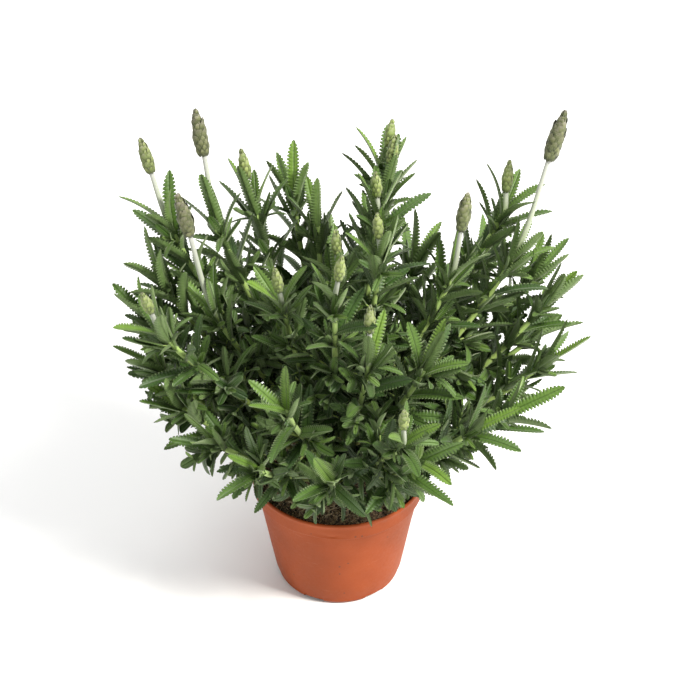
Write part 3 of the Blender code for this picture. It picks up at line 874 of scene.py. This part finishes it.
# each layer: its stretch of the stem, how far apart its pairs are and its own turn, then how it grows
shootLayers = dict(
    leaf=(0.4, 1.0, 12.5, 0.0, dict(
        Low=0.4, High=0.985, Crowd=1.35, LowAngle=0.95, HighAngle=0.3, LowSize=0.8, HighSize=0.98,
        Hump=0.12, Models=bigLeaves)),
    lowTuft=(0.27, 0.6, 15, 0.2, dict(
        Low=0.27, High=0.6, Crowd=1.0, LowAngle=0.95, HighAngle=0.7, LowSize=1.0, HighSize=0.95,
        Hump=0.1, Models=roundTufts)),
    highTuft=(0.6, 0.92, 20, 0.3, dict(
        Low=0.6, High=0.92, Crowd=1.0, LowAngle=0.55, HighAngle=0.4, LowSize=1.0, HighSize=0.85,
        Hump=0.0, Models=narrowTufts)),
)


def growShoot(index, curve):
    name = f"shoot_{index + 1:02d}"
    line = sampled(curve, 24)
    length = sum((b - a).length for a, b in zip(line, line[1:])) / mm
    settings = {}
    for kind, (low, high, spacing, turn, growth) in shootLayers.items():
        pairs = max(2, round(length * (high - low) / spacing))
        settings.update(layerSettings(kind, Pairs=pairs, Turn=leafy["turn"] * index + turn, **growth))
    shoot = grow(
        "leafy_" + name, pointCurve(name, line), shootTree, Seed=index * 7 + 3, Shade=leafy["shade"],
        FootRadius=leafy["footRadius"] * mm, TipRadius=leafy["tipRadius"] * mm,
        StemMaterial=finish["stem"], LeafMaterial=finish["leaf"], **settings,
    )
    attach(shoot, "root")
    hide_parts(name)


tips = floweringTips + leafyTips
stems = [shootCurve(foot, at(*tip)) for foot, tip in zip(spreadFeet(tips), tips)]
for i, curve in enumerate(stems):
    growShoot(i, curve)
print("shoots grown:", len(stems))


# flower spikes: a pale stalk and a head of overlapping scales in whorls

head = dict(
    width=5.4, widthShare=0.13, whorlPitch=3.4, scalesPerWhorl=6, youngest=20, oldest=34,
    fullScale=4.6, scaleSeat=0.72, topWhorl=0.86, lowTilt=0.62, highTilt=0.16, tightest=-0.02, loosest=0.26,
    wander=0.12, outlineStart=0.78, outlineSweep=2.0, coreStart=0.55, coreSweep=2.45, coreShare=0.75,
    coreReach=0.94, stalkInside=2,
)


def buildHeadTree():
    tree, start, end = newTree("budHead", [
        ("Seed", "Int", 1), ("Whorls", "Int", 9), ("PerWhorl", "Int", 8), ("HeadRadius", "Float", 4 * mm),
        ("ScaleSize", "Float", 1.0), ("ScaleModels", "Collection", None), ("ScaleMaterial", "Material", None),
        ("Age", "Float", 0.0),
    ])
    given = start.outputs
    curve, seed, per = given["Geometry"], given["Seed"], given["PerWhorl"]
    index = out(put(tree, "GeometryNodeInputIndex"))
    whorl = calc(tree, "FLOOR", calc(tree, "DIVIDE", index, per))
    share = calc(tree, "DIVIDE", whorl, minus(tree, given["Whorls"], 1.0))
    sample = sampleCurve(tree, curve, times(tree, share, head["topWhorl"]))
    points = feed(tree, put(tree, "GeometryNodePoints"), Count=times(tree, given["Whorls"], per))
    # every other whorl is turned by half a scale
    half = times(tree, calc(tree, "MODULO", whorl, 2.0), 0.5)
    step = plus(tree, calc(tree, "MODULO", index, per), half)
    azimuth = plus(tree, times(tree, calc(tree, "DIVIDE", step, per), math.tau),
                   randomBetween(tree, -head["wander"], head["wander"], seed, 1.0))
    # scales lie closer towards the tip, and come loose with age
    loose = times(tree, given["Age"], randomBetween(tree, head["tightest"], head["loosest"], seed, 2.0))
    tilt = plus(tree, between(tree, share, head["lowTilt"], head["highTilt"]), loose)
    turned, rotation = facing(tree, out(sample, "Tangent"), out(sample, "Normal"), azimuth, tilt, 0.0)
    # stout in the lower half, drawn in to a blunt tip
    outline = calc(tree, "SINE", scaled(tree, share, head["outlineSweep"], head["outlineStart"]))
    offset = times(tree, times(tree, outline, given["HeadRadius"]), head["scaleSeat"])
    push = feed(tree, put(tree, "ShaderNodeCombineXYZ"), X=offset)
    swung = feed(tree, put(tree, "FunctionNodeRotateVector"), Vector=out(push), Rotation=turned)
    placed = put(tree, "GeometryNodeSetPosition")
    feed(tree, placed, Geometry=out(points), Position=out(sample, "Position"), Offset=out(swung))
    size = times(tree, times(tree, given["ScaleSize"], scaled(tree, outline, 0.5, 0.5)),
                 randomBetween(tree, 1.0 - head["wander"], 1.0 + head["wander"], seed, 3.0))
    scales = placeModels(tree, out(placed), given["ScaleModels"], index, rotation, size)
    scales = keepTone(tree, scales, "budTone", randomBetween(tree, 0.0, 1.0, seed, 4.0))
    scales = keepTone(tree, scales, "budRise", share)
    scales = keepTone(tree, scales, "budAge", given["Age"])
    # a core that the scales sit on
    rise = out(put(tree, "GeometryNodeSplineParameter"), "Factor")
    swell = calc(tree, "SINE", scaled(tree, rise, head["coreSweep"], head["coreStart"]))
    core = tube(tree, curve, 12, times(tree, times(tree, swell, given["HeadRadius"]), head["coreShare"]))
    whole = gathered(tree, [realized(tree, scales), core])
    tree.links.new(painted(tree, whole, given["ScaleMaterial"]), end.inputs[0])
    return tree


def buildStalkTree():
    tree, start, end = newTree("flowerStalk", [
        ("FootRadius", "Float", 2.1 * mm), ("TipRadius", "Float", 1.7 * mm),
        ("StalkMaterial", "Material", None),
    ])
    given = start.outputs
    made = stalkMesh(tree, given["Geometry"], given["FootRadius"], given["TipRadius"], given["StalkMaterial"])
    tree.links.new(made, end.inputs[0])
    return tree


headTree = buildHeadTree()
stalkTree = buildStalkTree()


def joined(name, pieces):
    with bpy.context.temp_override(active_object=pieces[0], selected_editable_objects=pieces):
        bpy.ops.object.join()
    pieces[0].name = name
    return pieces[0]


def growSpike(index, curve, length):
    name = f"flower_spike_{index + 1:02d}"
    along = bezierSlope(curve, 1.0)
    radius = (head["width"] + head["widthShare"] * length) * mm / 2
    headLine = [curve[3] + along * length * mm * (i / 8 * head["coreReach"]) for i in range(9)]
    age = (length - head["youngest"]) / (head["oldest"] - head["youngest"])
    buds = grow(
        "buds" + name, pointCurve("headLine", headLine), headTree, Seed=index * 5 + 2,
        Whorls=max(6, round(length / head["whorlPitch"])), PerWhorl=head["scalesPerWhorl"],
        HeadRadius=radius, ScaleSize=radius / (head["fullScale"] * mm),
        ScaleModels=budScales, ScaleMaterial=finish["bud"], Age=min(1.0, max(0.0, age)),
    )
    # the stalk runs a little way up inside the head
    stalkLine = sampled(curve, 12) + [curve[3] + along * head["stalkInside"] * mm]
    stalk = grow("stalk" + name, pointCurve("stalkLine", stalkLine), stalkTree, StalkMaterial=finish["stalk"])
    spike = joined("bud_" + name, [buds, stalk])
    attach(spike, "root")
    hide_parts(name)


for i, headAt in enumerate(flowerHeads):
    growSpike(i, stalkCurve(stems[i], at(*headAt[:3])), headAt[3])
print("flower spikes grown:", len(flowerHeads))


# pot

def arc(centre, radius, start, end, count):
    turns = [math.radians(start + (end - start) * i / count) for i in range(count + 1)]
    return [(centre[0] + radius * math.cos(a), centre[1] + radius * math.sin(a)) for a in turns]


def lathe(name, profile, steps):
    # (radius, height) points in mm turned round the axis; ends off the axis are joined up
    bm = bmesh.new()
    verts = [bm.verts.new((r * mm, 0.0, z * mm)) for r, z in profile]
    lines = [bm.edges.new(pair) for pair in zip(verts, verts[1:])]
    if profile[0][0] > 0:
        lines.append(bm.edges.new((verts[-1], verts[0])))
    bmesh.ops.spin(
        bm, geom=verts + lines, cent=(0, 0, 0), axis=(0, 0, 1), angle=math.tau, steps=steps, use_merge=True)
    bmesh.ops.remove_doubles(bm, verts=bm.verts, dist=0.02 * mm)
    bmesh.ops.recalc_face_normals(bm, faces=bm.faces)
    return addPiece(name, meshFrom(bm, name))


def bodyRadius(height):
    top = pot["height"] - pot["collarHeight"]
    wide = pot["rimRadius"] - pot["lipOverhang"] - pot["collarDraft"] - pot["stepWidth"]
    return pot["baseRadius"] + (wide - pot["baseRadius"]) * height / top


def potProfile():
    # the inside from the floor up, then the outside from the lip down, both ends on the axis
    top = pot["height"]
    step = top - pot["collarHeight"]
    collar = pot["rimRadius"] - pot["lipOverhang"]
    low = collar - pot["collarDraft"]
    collarTop = top - 4
    lip = pot["lipHeight"] / 2
    wall = pot["wall"]
    rounding = pot["baseRounding"]
    body = bodyRadius(step - pot["stepDrop"])
    corner = (bodyRadius(0) - rounding, rounding)
    outside = arc((pot["rimRadius"] - lip, top - lip), lip, 90, -30, 8)
    outside += [(collar, top - pot["lipHeight"] - 0.3)]
    outside += [(collar + (low - collar) * t, collarTop + (step - collarTop) * t) for t in (0.2, 0.5, 0.8)]
    outside += arc((low - 1.0, step + 0.9), 1.0, 0, -70, 3)
    outside += [(body + 0.2, step - 1.6), (body, step - 3.0)]
    outside += [(bodyRadius(step * t), step * t) for t in (0.85, 0.7, 0.55, 0.4, 0.25, 0.12)]
    outside += arc(corner, rounding, 4, -90, 8)
    inside = [(0, wall)] + arc(corner, rounding - wall, -90, 4, 4)
    inside += [(body - wall, step - pot["stepDrop"]), (low - wall, step + 0.4), (collar - wall, collarTop)]
    inside += [(collar - wall, top - lip)]
    return inside + outside + [(0, 0)]


# soft dents in the thin wall: compass angle, height, width in degrees, height spread, depth
dents = [
    (-103, 83, 8, 1.6, 1.3), (-97, 85.8, 10, 1.0, -0.8), (-92, 81.5, 6, 1.2, 1.1), (-108, 79, 9, 1.3, 1.0),
    (-112, 76, 14, 2.0, 0.5),
    (-150, 60, 30, 20, 0.5), (-20, 50, 34, 22, 0.5), (60, 65, 36, 18, 0.6), (150, 40, 30, 20, 0.4),
]
flatFloor = 30  # the middle of the floor has no dents
outOfRound = 0.35
creaseAngle = 38  # sharper edges than this stay crisp, in degrees


def turnedOff(one, other):
    return (one - other + 180) % 360 - 180


def notchCutter():
    bm = bmesh.new()
    reach = pot["notchReach"] + pot["baseRounding"]
    for i in range(pot["notchCount"]):
        turn = Matrix.Rotation(math.radians(pot["notchTurn"]) + math.tau * i / pot["notchCount"], 4, "Z")
        shift = Matrix.Translation(Vector((pot["baseRadius"] - pot["notchReach"] + reach / 2, 0, 0)) * mm)
        size = Matrix.Diagonal((reach * mm, pot["notchWidth"] * mm, 2 * pot["notchHeight"] * mm, 1.0))
        bmesh.ops.create_cube(bm, size=1.0, matrix=turn @ shift @ size)
    bmesh.ops.bevel(
        bm, geom=list(bm.edges), offset=pot["notchRounding"] * mm, segments=2, affect="EDGES", profile=0.5)
    bmesh.ops.recalc_face_normals(bm, faces=bm.faces)
    return addPiece("notchCutter", meshFrom(bm, "notchCutter"))


def makePot():
    shell = lathe("potShell", potProfile(), pot["steps"])
    cutter = notchCutter()
    cut = shell.modifiers.new("notches", "BOOLEAN")
    cut.operation = "DIFFERENCE"
    cut.solver = "EXACT"
    cut.object = cutter
    shell = freeze(shell, "potShell")
    bpy.data.objects.remove(cutter, do_unlink=True)
    for vert in shell.data.vertices:
        x, y, z = (c / mm for c in vert.co)
        radius = math.hypot(x, y)
        if radius < flatFloor:
            continue
        angle = math.degrees(math.atan2(y, x))
        push = 0.0
        for centre, height, width, rise, depth in dents:
            push += depth * math.exp(-(turnedOff(angle, centre) / width) ** 2 - ((z - height) / rise) ** 2)
        # the rim is a little out of round
        push += outOfRound * math.sin(math.radians(2 * angle + 40)) * (z / pot["height"]) ** 2
        vert.co.x *= (radius - push) / radius
        vert.co.y *= (radius - push) / radius
    for face in shell.data.polygons:
        face.use_smooth = True
    shell.data.set_sharp_from_angle(angle=math.radians(creaseAngle))
    shell.data.materials.clear()
    shell.data.materials.append(finish["pot"])
    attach(shell, "root")
    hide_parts("pot")


makePot()
print("pot made")


# soil: a rough surface that carries crumbs and fibres

# the surface: how far it keeps from the wall, how deep it is lumpy and where the lumps die out
surface = dict(shoulder=0.8, skin=2.5, calm=3, rings=34, steps=120)
# lumps as (fineness, height in mm)
lumps = [(0.09, 1.6), (0.33, 1.1), (0.9, 0.5)]
# a heap of old litter against the rim: its middle, how far it spreads, how high it is, and the
# round patch that the litter lies on
heap = dict(x=52, y=14, acrossX=9, acrossY=13, rise=6.5, litterAt=(50, 14), litterReach=15)


def soilProfile(outer):
    step = pot["height"] - pot["collarHeight"]
    wall = pot["wall"] + soil["gap"]
    edge = pot["height"] - soil["belowRim"]
    rounding = pot["baseRounding"]
    rings = surface["rings"]
    profile = [(0, soilHeight(0))]
    for i in range(1, rings + 1):
        radius = outer * (i / rings)
        profile.append((radius, soilHeight(radius) - (1.0 if i == rings else 0.0)))
    profile += [(outer - 0.2, edge - 3), (bodyRadius(step - pot["stepDrop"]) - wall - 0.2, step - 3)]
    return profile + arc((bodyRadius(0) - wall - rounding, wall + rounding), rounding, 0, -90, 3) + [(0, wall)]


def makeSoil():
    outer = pot["rimRadius"] - pot["lipOverhang"] - pot["wall"] - soil["gap"] - surface["shoulder"]
    skin = pot["height"] - soil["belowRim"] - surface["skin"]
    ball = lathe("soilBall", soilProfile(outer), surface["steps"])
    for vert in ball.data.vertices:
        radius = vert.co.xy.length / mm
        if vert.co.z > skin * mm and radius < outer + 0.1:
            spot = vert.co * 1000
            lump = sum(noise.noise(spot * fineness) * height for fineness, height in lumps)
            awayX = (spot.x - heap["x"]) / heap["acrossX"]
            awayY = (spot.y - heap["y"]) / heap["acrossY"]
            heaped = heap["rise"] * math.exp(-awayX ** 2 - awayY ** 2)
            calm = min(1.0, (outer + 0.5 - radius) / surface["calm"])
            vert.co.z += (lump * calm + heaped * calm) * mm
    ball.data.materials.append(finish["peat"])
    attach(ball, "root")
    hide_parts("soil")
    return ball


soilBall = makeSoil()


# one crumb: how far it swells and shrinks, and how flat it is; one fibre: its joints, how it curls,
# sinks and rises, and half its thickness
crumb = dict(least=0.55, most=1.15, flat=0.7)
fibre = dict(joints=6, curl=0.9, sink=-0.12, rise=0.2, radius=0.34)


def makeCrumb(name, seed):
    bm = bmesh.new()
    bmesh.ops.create_icosphere(bm, subdivisions=1, radius=1.0 * mm)
    draw = random.Random(seed)
    for vert in bm.verts:
        vert.co *= draw.uniform(crumb["least"], crumb["most"])
        vert.co.z *= crumb["flat"]
    return addPiece(name, meshFrom(bm, name, smooth=False))


def makeFibre(name, length, seed):
    draw = random.Random(seed)
    points = []
    heading = 0.0
    place = Vector((0, 0, 0))
    for _ in range(fibre["joints"]):
        points.append(place.copy())
        heading += draw.uniform(-fibre["curl"], fibre["curl"])
        way = Vector((math.cos(heading), math.sin(heading), draw.uniform(fibre["sink"], fibre["rise"])))
        place = place + way * length / (fibre["joints"] - 1) * mm
    data = pointCurve(name, points)
    data.bevel_depth = fibre["radius"] * mm
    data.bevel_resolution = 0
    data.use_fill_caps = True
    return freeze(addPiece(name + "Draft", data), name)


crumbs = shelf("crumbs", [makeCrumb(f"crumb{i}", i) for i in range(4)])
fibres = shelf("fibres", [makeFibre(f"fibre{i}", 7 + 2 * i, 40 + i) for i in range(4)])


def buildScatterTree():
    tree, start, end = newTree("scatter", [
        ("Seed", "Int", 1), ("Density", "Float", 100000.0), ("LowSize", "Float", 0.5),
        ("HighSize", "Float", 1.5), ("Lift", "Float", 0.0), ("Flat", "Float", 0.3),
        ("Models", "Collection", None), ("BitMaterial", "Material", None),
    ])
    given = start.outputs
    seed = given["Seed"]
    scatter = put(tree, "GeometryNodeDistributePointsOnFaces", distribute_method="RANDOM")
    feed(tree, scatter, Mesh=given["Geometry"], Density=given["Density"], Seed=seed)
    lift = feed(tree, put(tree, "ShaderNodeCombineXYZ"), Z=given["Lift"])
    lifted = put(tree, "GeometryNodeSetPosition")
    feed(tree, lifted, Geometry=out(scatter, "Points"), Offset=out(lift))
    flat = given["Flat"]
    tip = times(tree, flat, -1.0)
    angles = put(tree, "ShaderNodeCombineXYZ")
    feed(tree, angles, X=randomBetween(tree, tip, flat, seed, 1.0),
         Y=randomBetween(tree, tip, flat, seed, 2.0), Z=randomBetween(tree, 0.0, math.tau, seed, 3.0))
    rotation = feed(tree, put(tree, "FunctionNodeEulerToRotation"), Euler=out(angles))
    size = randomBetween(tree, given["LowSize"], given["HighSize"], seed, 5.0)
    bits = placeModels(tree, out(lifted), given["Models"], anyModel(tree, seed, 4.0), out(rotation), size)
    toned = keepTone(tree, bits, "bitTone", randomBetween(tree, 0.0, 1.0, seed, 6.0))
    tree.links.new(painted(tree, realized(tree, toned), given["BitMaterial"]), end.inputs[0])
    return tree


scatterTree = buildScatterTree()


def soilTop(innerEdge, outerEdge, heapOnly=False):
    # the part of the soil's surface that bits may lie on
    bm = bmesh.new()
    bm.from_mesh(soilBall.data)
    away = []
    for face in bm.faces:
        centre = face.calc_center_median() / mm
        onTop = centre.z >= 80 and face.normal.z >= 0.2
        if not onTop or not innerEdge <= centre.xy.length <= outerEdge:
            away.append(face)
        elif heapOnly and (centre.xy - Vector(heap["litterAt"])).length > heap["litterReach"]:
            away.append(face)
    bmesh.ops.delete(bm, geom=away, context="FACES")
    return meshFrom(bm, "soilTop")


def scatterBits(name, surface, **settings):
    bits = grow(name, surface, scatterTree, **settings)
    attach(bits, "root")


scatterBits("peatCrumbs", soilTop(20, 60.5), Seed=3, Density=300000.0, LowSize=0.4, HighSize=1.6,
            Lift=0.2 * mm, Flat=1.5, Models=crumbs, BitMaterial=finish["crumb"])
scatterBits("peatFibres", soilTop(20, 50), Seed=4, Density=120000.0, LowSize=0.4, HighSize=0.95,
            Lift=1.4 * mm, Flat=0.6, Models=fibres, BitMaterial=finish["fibre"])
scatterBits("shortFibres", soilTop(47, 57.5), Seed=6, Density=190000.0, LowSize=0.26, HighSize=0.45,
            Lift=1.3 * mm, Flat=0.5, Models=fibres, BitMaterial=finish["fibre"])
scatterBits("dryLitter", soilTop(20, 55, heapOnly=True), Seed=5, Density=900000.0, LowSize=0.3,
            HighSize=0.7, Lift=1.6 * mm, Flat=0.8, Models=fibres, BitMaterial=finish["fibre"])
print("soil made")


# crown

def makeCrown():
    profile = [(0, crownSurface(0)[0])]
    for i in range(1, 13):
        radius = crown["radius"] * math.sin(math.radians(90 * i / 12))
        profile.append((radius, crownSurface(radius)[0]))
    seat = soilHeight(0) - crown["seat"]
    rounding = crown["seatRounding"]
    profile += [(crown["radius"], seat + rounding), (crown["radius"] - rounding, seat), (0, seat)]
    base = lathe("woodyCrown", profile, 64)
    for vert in base.data.vertices:
        spot = vert.co * 1000
        if spot.z > soilHeight(0) - 2:
            vert.co *= 1.0 - 0.02 * abs(noise.noise(spot * 0.25))
    base.data.materials.append(finish["bark"])
    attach(base, "root")
    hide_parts("crown")


makeCrown()
print("crown made")

for group in (bigLeaves, midLeaves, smallLeaves, budScales, roundTufts, narrowTufts, crumbs, fibres):
    for model in list(group.objects):
        bpy.data.objects.remove(model, do_unlink=True)


# floor, light and camera

studio = dict(lookAt=(8.7, 0.0, 203.5), elevation=36.4, distance=1500, lens=108.3)


def makeFloor():
    bm = bmesh.new()
    bmesh.ops.create_grid(bm, x_segments=1, y_segments=1, size=6.0)
    floor = addPiece("floor", meshFrom(bm, "floor"))
    made, tree, shader = newMaterial("paleFloor")
    grain = noiseAt(tree, objectPlace(tree), 3.0)
    pale = ramp(tree, grain, (0.3, (0.93, 0.93, 0.925)), (0.7, (0.95, 0.95, 0.945)))
    feed(tree, shader, BaseColor=pale, Roughness=0.9)
    floor.data.materials.append(made)


def addSoftbox(name, place, target, size, power, colour):
    light = bpy.data.lights.new(name, "AREA")
    light.shape = "SQUARE"
    light.size = size
    light.energy = power
    light.color = colour
    box = bpy.data.objects.new(name, light)
    bpy.context.scene.collection.objects.link(box)
    box.location = place
    box.rotation_euler = (Vector(target) - Vector(place)).to_track_quat("-Z", "Y").to_euler()


def lightScene():
    world = bpy.data.worlds.new("paleRoom")
    bpy.context.scene.world = world
    world.use_nodes = True
    sky = world.node_tree.nodes["Background"]
    sky.inputs["Color"].default_value = (1.0, 1.0, 1.0, 1.0)
    sky.inputs["Strength"].default_value = 0.7
    addSoftbox("keyLight", (1.6, -0.95, 2.2), (0, 0, 0.15), 0.6, 125, (1.0, 0.98, 0.92))
    addSoftbox("topLight", (-0.3, 0.5, 2.2), (0, 0, 0.2), 1.2, 20, (1.0, 1.0, 1.0))


def aimCamera():
    data = bpy.data.cameras.new("camera")
    data.lens = studio["lens"]
    data.sensor_width = 36
    data.clip_end = 20
    camera = bpy.data.objects.new("camera", data)
    bpy.context.scene.collection.objects.link(camera)
    tilt = math.radians(studio["elevation"])
    back = Vector((0.0, -math.cos(tilt), math.sin(tilt)))
    camera.location = (Vector(studio["lookAt"]) + back * studio["distance"]) * mm
    camera.rotation_euler = (-back).to_track_quat("-Z", "Y").to_euler()
    bpy.context.scene.camera = camera


makeFloor()
lightScene()
aimCamera()
bpy.context.scene.view_settings.view_transform = "Standard"
print("studio set")
